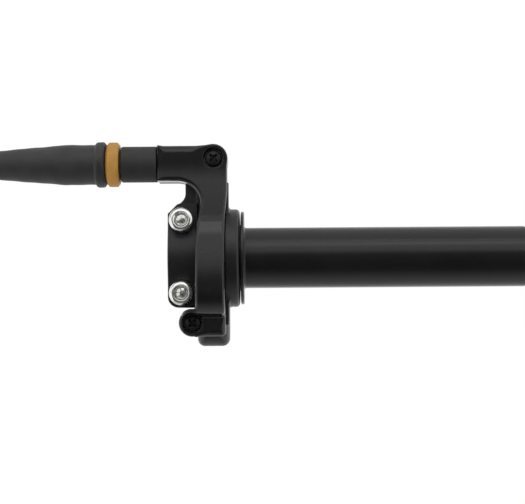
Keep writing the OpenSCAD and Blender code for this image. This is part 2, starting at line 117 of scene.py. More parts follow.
# outlines in the X-Z plane
UPPER_SCREW = (19, 40.5)
LOWER_SCREW = (10.1, -27.2)
BOSS_R = 5.7
BOSS_RISE = 0.4                    # how far the upper boss stands above the arm
ARM_TOP = COVER_HIGH[2]
ARM_Z0 = 31.15
THROAT_R = 9.7
SHOULDER_LEFT = (12.5, 21.5)       # heights between which the left side slopes
SHOULDER_RIGHT = (17, 27)
COVER_Z0 = -32.8
FOOT_Z = -24.8
FOOT_R = 2
CROWN_R = 75
CROWN_Z = -17
HEEL_R = 11                        # rounding where the crown turns back to the foot
NECK_TOP_Z = 35                    # where the neck's slope meets the arm's flat face
NECK_LOW_Z = 15
LUG_Z0 = FRONT_LOW[2]
LUG_R = 3
LUG_DEPTH = 9
CLAMP_Z0 = -20.8
CLAMP_CORNER_R = 4.2
SIDE_TOP_Z = 31
SIDE_BODY_TOP_Z = 19.8
WEB_TOP_Z = CABLE_Z - 4
CLAMP_SEAT_Z = 22
NOTCH = (2.4, 26.7)
NOTCH_R = 4.6

# radii about the bar
BAR_R = 11.15
FELT_R = 12.7
WASHER_R = 14.25
CHAMBER_R = 19.9
CHAMBER_OUT_R = 21.8
CLAMP_R = 16.2
CUP_R = 20.6
SPIGOT_R = 13.1
NECK_R = 14
NECK_GAP = 0.35
BUSH_R = 16.6
SEAL_R = 17.6

# turned pieces
TUBE_R = 12.75
TUBE_BORE_R = 11.3
FLANGE_R = TUBE_HIGH[1]
FLANGE_X0 = 29.95
FLANGE_X1 = FLANGE_X0 + 1.35
SLEEVE_R = (SLEEVE_HIGH[2] - SLEEVE_LOW[2]) / 2
NUT_R = (NUT_HIGH[2] - NUT_LOW[2]) / 2
BEAD_R = (BOOT_HIGH[2] - BOOT_LOW[2]) / 2
BOOT_R = 8.2

# fasteners
BOLT_X = (BOLT_LOW[0] + BOLT_HIGH[0]) / 2
BOLT_PITCH = 30
BOLT_R = 3
BOLT_HEAD_R = 5
BOLT_SOCKET = 5
SCREW_HEAD_R = 3.4
SCREW_HEAD_H = 2.2
SCREW_SHANK_R = 1.98
SCREW_HOLE_R = 2.15                # in the cover
SCREW_THREAD_R = 2.02              # in the housing
SCREW_SEAT_Y = {UPPER_SCREW: -13.9, LOWER_SCREW: -12.2}
COUNTERBORE_R = 4.1
BOLT_HEAD_H = 6
SPOT_FACE_R = BOLT_HEAD_R + 0.6

# cable path
GUIDE_R = 2.4
BEND_R = 14
BEND_X = 4.3
CABLE_LEAN = 11.5
CHANNEL_X0 = 2.7
CHANNEL_LENGTH = 28
SOCKET_R = 4.65
SOCKET_X1 = 2.85
COLLAR_R = 5.65
COLLAR_X = (-1.25, 0.85)

# fillets and edges of the castings
BOSS_FILLET = 0.8
LOBE_FILLET = 1.2
PROFILE_EASE = 0.7
EDGE_AT_SCREW = 0.9
EDGE_ADDED = 0.8
EDGE_ADDED_ON_TOP = 1.6
EDGE_ADDED_AT_FOOT = 1.1
EDGE_AT_SLEEVE = 0.35              # share of the edge left where the sleeve comes out
LUG_EDGE = 0.6
LUG_EDGE_ADDED = 8.2
CAST_EDGE = 0.6
CLAMP_EDGE = 0.7
FACE_EDGE = 0.15
CUP_EDGE = 1.5
CUP_FILLET = 1.2
BORE_EDGE = 0.12
SPLIT_EDGE = 0.3

# floor, light and camera
FLOOR_Z = -400
FLOOR_HALF = 6000
FLOOR_WHITE = (0.93, 0.93, 0.93)
CARD_ENDS = (-330, 420)
CARD_STEP = 2
FRONT_CARD_R = 330
FRONT_SHADES = (
    (-150, 0.75), (-125, 0.62), (-105, 0.55), (-88, 0.5), (-80, 0.42), (-70, 0.32), (-62, 0.2),
    (-54, 0.11), (-36, 0.06), (-20, 0.09), (-4, 0.14), (6, 0.17), (11, 0.2), (15, 0.4),
    (19, 0.68), (24, 0.88), (30, 1.0),
)
CEILING_CARD_R = 600
CEILING_SHADES = ((66, 0.85), (74, 0.7), (140, 0.6), (150, 0.9))
SOFTBOX_PLACE = (50, -560, 640)
SOFTBOX_SIZE = (1500, 110)
SOFTBOX_POWER = 0.42
SUN_POWER = 0.3
SUN_ANGLE = 60
CAMERA_TARGET = (39.0, 0, 2.5)
CAMERA_DISTANCE = 500
CAMERA_ELEVATION = -3.3
CAMERA_ROLL = -0.4
LENS = 81.05


# ---------- signed distances ----------

def both(a, b, r=0.0):
    """Where both shapes are solid, with its edge rounded to radius r."""
    if np.isscalar(r) and r == 0:
        return np.maximum(a, b)
    u, v = a + r, b + r
    return np.minimum(np.maximum(u, v), 0) + np.hypot(np.maximum(u, 0), np.maximum(v, 0)) - r


def either(a, b, r=0.0):
    """Where either shape is solid, with a fillet of radius r between them."""
    return -both(-a, -b, r)


def without(a, b, r=0.0):
    """The first shape with the second cut out of it, its new edges rounded to radius r."""
    return both(a, -b, r)


def blended(a, b, reach):
    """Where either shape is solid, eased over faces that meet at a shallow angle."""
    return np.minimum(a, b) - np.maximum(reach - np.abs(a - b), 0) ** 2 / (4 * reach)


def between(u, low, high):
    """A slab of u from low to high."""
    return np.maximum(low - u, u - high)


def disc(u, v, centre, r):
    """A circle in the plane of u and v."""
    return np.hypot(u - centre[0], v - centre[1]) - r


def rod(u, v, w, centre, r, low, high, edge=0.0):
    """A cylinder along w, centred on (u, v)."""
    return both(disc(u, v, centre, r), between(w, low, high), edge)


def ease(value, low, high):
    """Rises smoothly from 0 at low to 1 at high."""
    t = np.clip((value - low) / (high - low), 0, 1)
    return t * t * (3 - 2 * t)


# ---------- meshes ----------

def add_mesh(name, points, faces, normals=None):
    """Makes an object from points in mm."""
    mesh = bpy.data.meshes.new(name)
    mesh.from_pydata((np.asarray(points) * MM).tolist(), [], faces)
    mesh.update()
    mesh.polygons.foreach_set("use_smooth", [True] * len(mesh.polygons))
    if normals is not None:
        mesh.normals_split_custom_set_from_vertices(np.asarray(normals).tolist())
    piece = bpy.data.objects.new(name, mesh)
    bpy.context.scene.collection.objects.link(piece)
    return piece


def slope(shape, points, step=0.02):
    """Direction in which a shape's signed distance grows, at each point."""
    grad = np.empty_like(points)
    for axis in range(3):
        ahead, behind = points.copy(), points.copy()
        ahead[:, axis] += step
        behind[:, axis] -= step
        grad[:, axis] = (shape(*ahead.T) - shape(*behind.T)) / (2 * step)
    return grad


def settled(shape, points, most):
    """Moves points on to a shape's surface, by at most so far in each of three steps."""
    for _ in range(3):
        grad = slope(shape, points)
        size = np.maximum((grad ** 2).sum(1), 0.2)
        move = grad * (shape(*points.T) / size)[:, None]
        points = points - np.clip(move, -most, most)
    return points


def cast(name, shape, low, high, voxel=0.3):
    """Meshes the surface of a signed distance in a box, with exact points and normals."""
    margin = 2.5 * voxel
    axes = [np.arange(a - margin, b + margin, voxel) for a, b in zip(low, high)]
    x, y, z = np.ix_(*axes)
    values = shape(x, y, z)
    grid = vdb.FloatGrid()
    grid.copyFromArray(np.ascontiguousarray(values, dtype=np.float32))
    points, triangles, quads = grid.convertToPolygons(0.0, 0.0)
    points = points.astype(float) * voxel + np.array([axis[0] for axis in axes])
    points = settled(shape, points, 0.5 * voxel)
    grad = slope(shape, points)
    normals = grad / np.maximum(np.linalg.norm(grad, axis=1), 1e-6)[:, None]
    faces = [tuple(q) for q in quads.tolist()] + [tuple(t) for t in triangles.tolist()]
    a, b, c = (points[quads[:, i]] for i in range(3))
    if (np.cross(b - a, c - b) * normals[quads[:, 0]]).sum() < 0:
        faces = [f[::-1] for f in faces]
    return add_mesh(name, points, faces, normals)


def turned(vector):
    """A plane vector turned a quarter clockwise."""
    return np.array([vector[1], -vector[0]])


def rounded(corners, steps=6):
    """Points and outward normals round a closed profile of (x, radius, corner radius).

    A corner's radius shrinks where the sides next to it are too short for it.
    """
    spots = np.array([corner[:2] for corner in corners], float)
    after = np.roll(spots, -1, axis=0)
    facing = math.copysign(1, (spots[:, 0] * after[:, 1] - after[:, 0] * spots[:, 1]).sum())
    points, normals = [], []
    for i, here in enumerate(spots):
        to_back = spots[i - 1] - here
        to_next = after[i] - here
        back_len, next_len = np.linalg.norm(to_back), np.linalg.norm(to_next)
        to_back, to_next = to_back / back_len, to_next / next_len
        half = math.acos(np.clip(to_back @ to_next, -1, 1)) / 2
        reach = min(corners[i][2] / math.tan(half), 0.49 * back_len, 0.49 * next_len)
        bend = reach * math.tan(half)
        before, behind = turned(-to_back) * facing, turned(to_next) * facing
        convex = math.copysign(1, np.cross(-to_back, to_next) * facing)
        middle = to_back + to_next
        centre = here + middle / np.linalg.norm(middle) * bend / math.sin(half)
        for t in np.linspace(0, 1, steps + 1):
            normal = before * (1 - t) + behind * t
            normal /= np.linalg.norm(normal)
            points.append(centre + convex * bend * normal)
            normals.append(normal)
    return np.array(points), np.array(normals)


def filled_in(points, normals, spacing):
    """Adds points along a profile's long straight stretches."""
    new_points, new_normals = [], []
    for i, (start, start_n) in enumerate(zip(points, normals)):
        after = (i + 1) % len(points)
        to_end, to_end_n = points[after] - start, normals[after] - start_n
        parts = max(1, int(np.linalg.norm(to_end) / spacing))
        for t in np.arange(parts) / parts:
            new_points.append(start + to_end * t)
            new_normals.append(start_n + to_end_n * t)
    return np.array(new_points), np.array(new_normals)


def ring_faces(count, turns):
    """Quads between a profile's points, all the way round."""
    faces = []
    for i in range(count):
        j = (i + 1) % count
        for k in range(turns):
            m = (k + 1) % turns
            faces.append((i * turns + k, i * turns + m, j * turns + m, j * turns + k))
    return faces


def lathe(name, corners, centre=(0, 0), turns=192, relief=None, spacing=None, steps=6):
    """Turns a closed profile about an axis along X. relief moves points in or out."""
    points, normals = rounded(corners, steps)
    if spacing:
        points, normals = filled_in(points, normals, spacing)
    angle = np.arange(turns) * 2 * math.pi / turns
    x = np.repeat(points[:, :1], turns, axis=1)
    r = np.repeat(points[:, 1:], turns, axis=1)
    if relief:
        r = r + relief(x, angle[None, :], r)
    ring = np.stack([x, centre[0] + r * np.cos(angle), centre[1] + r * np.sin(angle)], axis=2)
    out = None
    if not relief:
        nx = np.repeat(normals[:, :1], turns, axis=1)
        nr = normals[:, 1:]
        out = np.stack([nx, nr * np.cos(angle), nr * np.sin(angle)], axis=2).reshape(-1, 3)
    faces = ring_faces(len(points), turns)
    after = np.roll(points, -1, axis=0)
    if (points[:, 0] * after[:, 1] - after[:, 0] * points[:, 1]).sum() > 0:
        faces = [face[::-1] for face in faces]
    return add_mesh(name, ring.reshape(-1, 3), faces, out)


# ---------- outlines of the castings ----------

def cover_outline(x, z):
    """The cover seen square on: an arm, a neck, the drum part and two screw bosses."""
    left = np.interp(z, SHOULDER_LEFT, (COVER_X0, NECK_X0))
    right = np.interp(z, SHOULDER_RIGHT, (COVER_X1, NECK_X1))
    arm = np.maximum(ARM_X0 - x, ARM_Z0 - z)
    stepped = either(arm, left - x, THROAT_R)
    top = z - (ARM_TOP - BOSS_RISE)
    outline = both(stepped, both(x - right, COVER_Z0 - z, FOOT_R))
    outline = both(outline, both(top, x - right, BOSS_R))
    outline = either(outline, disc(x, z, UPPER_SCREW, BOSS_R), BOSS_FILLET)
    return either(outline, disc(x, z, LOWER_SCREW, BOSS_R), LOBE_FILLET)


def cover_profile(y, z):
    """The cover seen from its end: flat arm, neck leaning forward, crown and foot."""
    crown_axis_y = CROWN_Y + CROWN_R
    crown = np.hypot(y - crown_axis_y, z - CROWN_Z) - CROWN_R
    crown = both(crown, FOOT_Z - z, HEEL_R)
    crown_top_y = crown_axis_y - math.sqrt(CROWN_R ** 2 - (NECK_LOW_Z - CROWN_Z) ** 2)
    lean = (FACE_Y - crown_top_y) / (NECK_TOP_Z - NECK_LOW_Z)
    neck_y = crown_top_y + (z - NECK_LOW_Z) * lean
    face_y = FACE_Y - FACE_SLOPE * (z - NECK_TOP_Z)
    upper = blended(face_y - y, (neck_y - y) / math.hypot(1, lean), PROFILE_EASE)
    upper = np.maximum(upper, -z)
    return either(blended(upper, crown, PROFILE_EASE), LOBE_Y - y, LOBE_FILLET)


def web_outline(x, z):
    """The clamp and the web beside the cover, with a round notch and a 45 degree edge."""
    reach = NOTCH_R / math.sqrt(2)
    tangent = (NOTCH[0] + reach, NOTCH[1] - reach)
    sloping = ((z - tangent[1]) - (x - tangent[0])) / math.sqrt(2)
    outline = np.minimum(sloping, tangent[0] - x)
    outline = np.maximum(outline, -disc(x, z, NOTCH, NOTCH_R))
    outline = np.maximum(outline, np.minimum(NOTCH[0] + NOTCH_R - x, z - NOTCH[1]))
    outline = np.maximum(outline, np.maximum(x - WEB_X1, z - WEB_TOP_Z))
    return both(outline, both(-x, CLAMP_Z0 - z, CLAMP_CORNER_R))


def side_outline(x, z, top):
    """The housing's body beside the cover, down to its lug."""
    lug = both(both(COVER_X0 - x, LUG_Z0 - z, LUG_R), x - BODY_X1)
    corner = both(x - BODY_X1, LUG_Z0 - z, LUG_R)
    return np.maximum(np.maximum(lug, corner), z - top)


# ---------- what is taken out of the castings ----------

def bar_space(x, y, z):
    """Room for the bar, the tube, the drum and their rings."""
    r = np.hypot(y, z)
    room = np.maximum(r - BAR_R, x - CHAMBER_X[0])
    stations = (
        (FELT_R, FELT_X), (WASHER_R, WASHER_X), (CHAMBER_R, CHAMBER_X),
        (NECK_R + NECK_GAP, NECK_X), (BUSH_R, BUSH_X), (SEAL_R, SEAL_X),
    )
    for radius, ends in stations:
        room = np.minimum(room, np.maximum(r - radius, between(x, *ends)))
    return room


def cable_channel(x, y, z, depth):
    """The slot that the cable's guide lies in, along the arm and round its bend."""
    lean = math.radians(CABLE_LEAN)
    across = (y - CABLE_Y) * math.cos(lean) - (z - CABLE_Z) * math.sin(lean)
    along = (y - CABLE_Y) * math.sin(lean) + (z - CABLE_Z) * math.cos(lean)
    round_x = np.maximum(x - BEND_X, 0)
    round_z = np.maximum(along + BEND_R, 0)
    band = np.abs(np.hypot(round_x, round_z) - BEND_R) - GUIDE_R
    band = np.maximum(band, np.maximum(CHANNEL_X0 - x, -CHANNEL_LENGTH - along))
    return np.maximum(band, between(across, -GUIDE_R, depth))


def sleeve_socket(x, y, z):
    """The stepped hole that holds the outlet sleeve."""
    r = np.hypot(y - CABLE_Y, z - CABLE_Z)
    socket = np.maximum(r - SOCKET_R, x - SOCKET_X1)
    return np.minimum(socket, np.maximum(r - COLLAR_R, between(x, *COLLAR_X)))


def bolt_holes(x, y, z):
    """Holes of both clamp bolts, and the round flats that their heads sit on."""
    across = np.hypot(x - BOLT_X, np.abs(z) - BOLT_PITCH / 2)
    spot_face = np.maximum(across - SPOT_FACE_R, y - CLAMP_Y)
    return np.minimum(spot_face, np.maximum(across - BOLT_R - 0.1, y - BOLT_HOLE_Y1))


# ---------- castings ----------

def cover_edge(x, z):
    """Radius of the cover's front edge: small at the screws, larger on top and at the foot."""
    from_upper = disc(x, z, UPPER_SCREW, BOSS_R)
    from_lower = disc(x, z, LOWER_SCREW, BOSS_R)
    on_top = ease(z, ARM_Z0 + 3, ARM_TOP - 2) * ease(x, ARM_X0 + 0.5, ARM_X0 + 2)
    at_foot = ease(-z, -FOOT_Z, 4 - FOOT_Z) * ease(from_lower, 0, 3)
    edge = EDGE_AT_SCREW + ease(from_upper, 0, 4) * (EDGE_ADDED + EDGE_ADDED_ON_TOP * on_top)
    edge = edge * (EDGE_AT_SLEEVE + (1 - EDGE_AT_SLEEVE) * ease(x, ARM_X0, ARM_X0 + 3))
    return edge + EDGE_ADDED_AT_FOOT * at_foot


def front_cover(x, y, z):
    shell = both(cover_outline(x, z), cover_profile(y, z), cover_edge(x, z))
    shell = both(shell, y - COVER_BACK_Y, FACE_EDGE)
    shell = np.maximum(shell, -bar_space(x, y, z))
    cup_room = np.maximum(np.hypot(y, z) - CUP_R - 0.1, CUP_X0 - 0.05 - x)
    shell = np.maximum(shell, -cup_room)
    shell = np.maximum(shell, -cable_channel(x, y, z, 20))
    shell = np.maximum(shell, -sleeve_socket(x, y, z))
    for screw, seat in SCREW_SEAT_Y.items():
        hole = disc(x, z, screw, COUNTERBORE_R)
        shell = without(shell, np.maximum(hole, y - seat), 0.35)
        shell = np.maximum(shell, -disc(x, z, screw, SCREW_HOLE_R))
    return shell


def cup(x, r, x0):
    """The round mouth that the tube comes out of, from x0."""
    return both(both(r - CUP_R, x - CUP_X1, CUP_EDGE), x0 - x)


def front_arm(x, y, z):
    """The front half's plate behind the cover, its upper screw's pad, and its web."""
    plate = both(cover_outline(x, z) + 0.1, PART_Y - y, FACE_EDGE)
    plate = both(plate, y - ARM_BACK_Y, 1.0)
    plate = np.minimum(plate, rod(x, z, y, UPPER_SCREW, 4, -6, -2.4, 0.5))
    web = both(web_outline(x, z), between(y, WEB_Y, ARM_BACK_Y), CAST_EDGE)
    return either(plate, web, 0.5)


def front_lug(x, y, z):
    """The front half's side down to its lug, whose edges are rounder than the side's."""
    above = LUG_Z0 + 20 - LUG_DEPTH
    edge = LUG_EDGE + LUG_EDGE_ADDED * ease(-z, -above, 3 - above)
    return both(side_outline(x, z, SIDE_BODY_TOP_Z), between(y, PART_Y, 8), edge)


def front_chamber(x, y, z):
    """The wall beside the cover, the drum's chamber and the lower screw's lobe."""
    wall = both(side_outline(x, z, SIDE_TOP_Z), between(y, PART_Y, ARM_BACK_Y), CAST_EDGE)
    wall = np.maximum(wall, LUG_Z0 + LUG_DEPTH - z)
    drum = both(np.hypot(y, z) - CHAMBER_OUT_R, between(x, COVER_X0, BODY_X1), CAST_EDGE)
    drum = np.maximum(drum, PART_Y - y)
    lobe = both(disc(x, z, LOWER_SCREW, BOSS_R - 0.1), between(y, PART_Y, LOBE_BACK_Y), 0.4)
    return np.minimum(wall, np.minimum(drum, lobe))


def front_clamp(x, y, z):
    """The clamp's front half: a round crown between two flat seats for the bolts."""
    seats = np.maximum(between(y, CLAMP_Y, 5), between(z, -CLAMP_SEAT_Z, CLAMP_SEAT_Z))
    clamp = either(np.hypot(y, z) - CLAMP_R, seats, 2.5)
    clamp = both(web_outline(x, z), clamp, CLAMP_EDGE)
    return np.maximum(clamp, np.maximum(x - COVER_X0 - 0.5, y + HALF_SPLIT))


def housing_front(x, y, z):
    solid = either(front_arm(x, y, z), front_lug(x, y, z), 0.3)
    solid = either(solid, front_chamber(x, y, z), 0.4)
    solid = either(solid, front_clamp(x, y, z), 0.5)
    solid = either(solid, cup(x, np.hypot(y, z), CUP_X0), CUP_FILLET)
    for cut in (bar_space(x, y, z), sleeve_socket(x, y, z), cable_channel(x, y, z, 2.5)):
        solid = without(solid, cut, BORE_EDGE)
    solid = without(solid, bolt_holes(x, y, z), 0.2)
    for screw in SCREW_SEAT_Y:
        thread = np.maximum(disc(x, z, screw, SCREW_THREAD_R), y - SCREW_HOLE_Y1)
        solid = np.maximum(solid, -thread)
    solid = both(solid, y, FACE_EDGE)
    split = np.maximum(x - COVER_X0, -HALF_SPLIT - y)
    return without(solid, split, SPLIT_EDGE)


def rear_clamp(x, y, z):
    """The clamp's rear half, with a boss behind each bolt."""
    bosses = np.maximum(between(np.abs(z), *REAR_BOSS_Z), between(y, -5, REAR_BOSS_Y))
    corners = both(-x, np.abs(z) + CLAMP_Z0, CLAMP_CORNER_R)
    clamp = both(either(np.hypot(y, z) - CLAMP_R, bosses, 1.5), corners, CLAMP_EDGE)
    return np.maximum(clamp, np.maximum(x - COVER_X0 - 3, HALF_SPLIT - y))


def rear_chamber(x, y, z):
    """The rear of the drum's chamber, with the lug below it."""
    lug_axis_z = LUG_Z0 + LUG_DEPTH
    lug = np.minimum(disc(y, z, (0, lug_axis_z), LUG_DEPTH),
                     np.maximum(between(z, lug_axis_z, -15), y - LUG_DEPTH))
    drum = either(np.hypot(y, z) - CHAMBER_OUT_R, lug, 3.0)
    return both(drum, side_outline(x, z, 2 * CHAMBER_OUT_R), 1.0)


def housing_rear(x, y, z):
    solid = either(rear_clamp(x, y, z), rear_chamber(x, y, z), 0.8)
    solid = either(solid, cup(x, np.hypot(y, z), CUP_X0 - 3), CUP_FILLET)
    solid = without(solid, bar_space(x, y, z), BORE_EDGE)
    across = np.hypot(x - BOLT_X, np.abs(z) - BOLT_PITCH / 2)
    solid = without(solid, across - BOLT_R - 0.05, 0.3)
    split = np.maximum(x - COVER_X0, y - HALF_SPLIT)
    return both(without(solid, split, SPLIT_EDGE), -y, FACE_EDGE)


# ---------- fasteners ----------

def cross_recess(u, w, depth):
    """A cross turned by 45 degrees that narrows with its depth below the head's top."""
    taper = np.clip(depth, 0, 3)
    a, b = np.abs(u + w) / math.sqrt(2), np.abs(u - w) / math.sqrt(2)
    wing = 2.3 - 0.55 * taper
    blade = 0.5 - 0.06 * taper
    cross = np.minimum(np.maximum(a - wing, b - blade), np.maximum(b - wing, a - blade))
    cross = either(cross, np.hypot(u, w) - (1.0 - 0.35 * taper), 0.3)
    return np.maximum(cross, depth - 1.7)


def cover_screw(u, y, w, seat):
    """One pan-head screw on the axis u = w = 0, with its head on a seat."""
    r = np.hypot(u, w)
    top = seat - SCREW_HEAD_H
    dome_r = 7.5
    dome = np.hypot(r, y - (top + dome_r)) - dome_r
    head = both(both(r - SCREW_HEAD_R, dome, 0.5), y - seat, 0.2)
    shank = both(r - SCREW_SHANK_R, between(y, seat - 0.5, seat + 10), 0.4)
    return without(np.minimum(head, shank), cross_recess(u, w, y - top), 0.1)


def cover_screws(x, y, z):
    both_screws = (
        cover_screw(x - cx, y, z - cz, seat) for (cx, cz), seat in SCREW_SEAT_Y.items()
    )
    return np.minimum(*both_screws)


def clamp_bolt(x, y, z):
    """One cap screw at the origin of X and Z, with a hexagon socket."""
    top = CLAMP_Y - BOLT_HEAD_H
    r = np.hypot(x, z)
    chamfer = (r - BOLT_HEAD_R + 1.15 - (y - top)) / math.sqrt(2)
    head = both(both(r - BOLT_HEAD_R, top - y, 0.3), chamfer, 0.5)
    head = both(head, y - CLAMP_Y, 0.2)
    shank = both(r - BOLT_R, between(y, CLAMP_Y - 0.5, BOLT_HIGH[1]), 0.5)
    solid = np.minimum(head, shank)
    flats = [np.abs(x * math.cos(t) + z * math.sin(t)) for t in (0, math.pi / 3, -math.pi / 3)]
    hexagon = np.maximum(np.maximum(*flats[:2]), flats[2]) - BOLT_SOCKET / 2
    hexagon = np.maximum(hexagon, y - top - 3.2)
    mouth = (r - 3.25 + (y - top)) / math.sqrt(2)
    tip = (r - 2.5 + 1.5 * (y - top - 3.0)) / 1.8
    solid = without(solid, hexagon, 0.12)
    solid = without(solid, mouth, 0.12)
    return without(solid, np.maximum(tip, top + 2.5 - y), 0.05)


def clamp_bolts():
    """Both clamp bolts, cast once and set in two places."""
    low = np.array([-BOLT_HEAD_R, CLAMP_Y - BOLT_HEAD_H, -BOLT_HEAD_R])
    high = np.array([BOLT_HEAD_R, BOLT_HIGH[1], BOLT_HEAD_R])
    one = cast("clamp_bolt_pair", clamp_bolt, low, high, 0.17)
    other = one.copy()
    other.data = one.data.copy()
    bpy.context.scene.collection.objects.link(other)
    for bolt, side, turn in ((one, 1, 0.2), (other, -1, 0.75)):
        place = Matrix.Translation(Vector((BOLT_X, 0, side * BOLT_PITCH / 2)) * MM)
        bolt.data.transform(place @ Matrix.Rotation(turn, 4, "Y"))
    other.name = "clamp_bolt_lower"
    one.name = "clamp_bolt_upper"
    return [one, other]


# ---------- turned pieces ----------

def throttle_tube():
    """The bare tube with its flange, neck and drum spigot."""
    x0, x1 = TUBE_LOW[0], TUBE_HIGH[0]
    return lathe("throttle_tube_body", [
        (x0, TUBE_BORE_R, 0.3), (x0, SPIGOT_R, 0.3), (DRUM_X1, SPIGOT_R, 0.15),
        (DRUM_X1, NECK_R, 0.3), (FLANGE_X0, NECK_R, 0.3), (FLANGE_X0, FLANGE_R, 0.45),
        (FLANGE_X1, FLANGE_R, 0.45), (FLANGE_X1, TUBE_R, 1.0), (x1, TUBE_R, 0.6),
        (x1, TUBE_BORE_R, 0.5),
    ], turns=256)


def outlet_sleeve():
    """The matte sleeve that the arm grips, with a rounded outer end."""
    x0, x1 = SLEEVE_LOW[0], SLEEVE_HIGH[0]
    r = SLEEVE_R
    return lathe("outlet_sleeve_body", [
        (x0, 4.06, 0.3), (x0 + 13, 4.06, 0.2), (x0 + 13, 1.8, 0.2), (x1, 1.8, 0.3), (x1, 4.6, 0.4),
        (0.8, 4.6, 0.15), (0.8, 5.6, 0.15), (-1.2, 5.6, 0.15), (-1.2, 4.6, 0.15),
        (x0 + 15, 4.6, 0.15), (x0 + 15, r, 0.25), (x0, r, 0.9),
    ], centre=(CABLE_Y, CABLE_Z))


def lock_nut():
    """The gold nut: rounded rims with fine serrations across its crown."""
    x0, x1 = NUT_LOW[0], NUT_HIGH[0]
    r = NUT_R
    teeth = 72

    def serrations(x, angle, radius):
        crown = ease(radius, r - 0.25, r - 0.02) * ease(x, x0 + 0.5, x0 + 1.1)
        crown = crown * (1 - ease(x, x1 - 1.1, x1 - 0.5))
        return -0.1 * crown * (0.5 - 0.5 * np.cos(teeth * angle)) ** 3

    return lathe("lock_nut_body", [
        (x0, 4.06, 0.4), (x1, 4.06, 0.4), (x1, r - 1.1, 0.3), (x1 - 0.9, r, 0.6),
        (x0 + 0.9, r, 0.6), (x0, r - 1.1, 0.3),
    ], centre=(CABLE_Y, CABLE_Z), turns=864, relief=serrations)


def cable_boot():
    """The rubber boot: a rim bead, a straight part, a long taper and a ribbed end."""
    x0, x1 = BOOT_LOW[0], BOOT_HIGH[0]
    bead = BEAD_R
    body = BOOT_R
    bead_x = x1 - 3.8
    straight_x = x1 - 17.4
    taper_x = x0 + 5

    def dents(x, angle, radius):
        swell = 0.05 * np.sin(0.35 * x + 2 * angle) + 0.04 * np.sin(0.8 * x - 3 * angle + 1)
        near_bead = np.exp(-((x - bead_x) / 1.6) ** 2)
        pinch = 0.16 * near_bead * np.sin(5 * angle + 0.6) * np.sin(2 * angle)
        ribs = -0.22 * (0.5 + 0.5 * np.cos(2 * math.pi * (x - x0) / 1.3)) ** 4
        at_end = ease(x, x0 + 0.5, x0 + 0.9) * (1 - ease(x, taper_x - 1.2, taper_x - 0.6))
        outside = ease(radius, 3.3, 3.7)
        return (swell + pinch + 0.1) * outside * ease(x, x0, x0 + 8) + ribs * at_end * outside

    return lathe("cable_boot_body", [
        (x0, 2.9, 0.3), (x0, 4.2, 0.6), (taper_x - 0.6, 4.2, 0.6), (taper_x + 0.6, 3.95, 1.5),
        (straight_x, body, 8.0), (bead_x - 0.5, body, 0.5), (bead_x, bead - 0.35, 0.5),
        (bead_x + 0.7, bead, 0.9), (x1 - 0.8, bead, 0.9), (x1, bead - 0.9, 0.6),
        (x1, 5.95, 0.3), (straight_x - 4, 5.95, 2.0), (taper_x + 4, 2.9, 2.0),
    ], centre=(CABLE_Y, CABLE_Z), turns=144, relief=dents, spacing=0.6)


# ---------- materials ----------

def new_material(name, slot):
    """An empty principled material for one of the record's slots."""
    material = bpy.data.materials.new(name)
    material.use_nodes = True
    material["slot"] = slot
    tree = material.node_tree
    return material, tree, tree.nodes["Principled BSDF"]


def noise(tree, scale, stretch=(1, 1, 1), detail=3.0):
    """Noise in the object's own space. scale is in features for each metre."""
    place = tree.nodes.new("ShaderNodeTexCoord")
    mapping = tree.nodes.new("ShaderNodeMapping")
    mapping.inputs["Scale"].default_value = stretch
    tree.links.new(place.outputs["Object"], mapping.inputs["Vector"])
    texture = tree.nodes.new("ShaderNodeTexNoise")
    texture.inputs["Scale"].default_value = scale
    texture.inputs["Detail"].default_value = detail
    tree.links.new(mapping.outputs["Vector"], texture.inputs["Vector"])
    return texture.outputs["Fac"]


def spread(tree, value, low, high):
    """Maps the middle of a noise's range to low..high."""
    node = tree.nodes.new("ShaderNodeMapRange")
    node.inputs["From Min"].default_value = 0.3
    node.inputs["From Max"].default_value = 0.7
    node.inputs["To Min"].default_value = low
    node.inputs["To Max"].default_value = high
    tree.links.new(value, node.inputs["Value"])
    return node.outputs["Result"]


def tint(tree, value, dark, light):
    """Mixes two colours by a noise."""
    ramp = tree.nodes.new("ShaderNodeValToRGB")
    ramp.color_ramp.elements[0].position = 0.3
    ramp.color_ramp.elements[1].position = 0.7
    ramp.color_ramp.elements[0].color = (*dark, 1)
    ramp.color_ramp.elements[1].color = (*light, 1)
    tree.links.new(value, ramp.inputs["Fac"])
    return ramp.outputs["Color"]


def bumps(tree, value, depth, before=None):
    """Turns a noise into relief of the given depth in mm."""
    node = tree.nodes.new("ShaderNodeBump")
    node.inputs["Strength"].default_value = 1.0
    node.inputs["Distance"].default_value = depth * MM
    tree.links.new(value, node.inputs["Height"])
    if before:
        tree.links.new(before, node.inputs["Normal"])
    return node.outputs["Normal"]


def surface(name, slot, colours, roughness, metallic=0.0, grain=(400, 0.01), cloud=60,
            streak=None, specular=0.5, coat=0.0, sheen=0.0):
    """A material whose colour and roughness drift, with fine grain and optional streaks.

    colours and roughness are (low, high); grain is (features for each metre, depth in mm);
    streak is the same along X only, for drawn, moulded or turned marks.
    """
    material, tree, shader = new_material(name, slot)
    drift = noise(tree, cloud, detail=4.0)
    tree.links.new(tint(tree, drift, *colours), shader.inputs["Base Color"])
    fine = noise(tree, grain[0])
    normal = bumps(tree, fine, grain[1])
    marks = fine
    if streak:
        marks = noise(tree, streak[0], stretch=streak[2], detail=5.0)
        normal = bumps(tree, marks, streak[1], before=normal)
    tree.links.new(spread(tree, marks, *roughness), shader.inputs["Roughness"])
    tree.links.new(normal, shader.inputs["Normal"])
    shader.inputs["Metallic"].default_value = metallic
    shader.inputs["Specular IOR Level"].default_value = specular
    shader.inputs["Coat Weight"].default_value = coat
    shader.inputs["Coat Roughness"].default_value = 0.08
    shader.inputs["Sheen Weight"].default_value = sheen
    return material


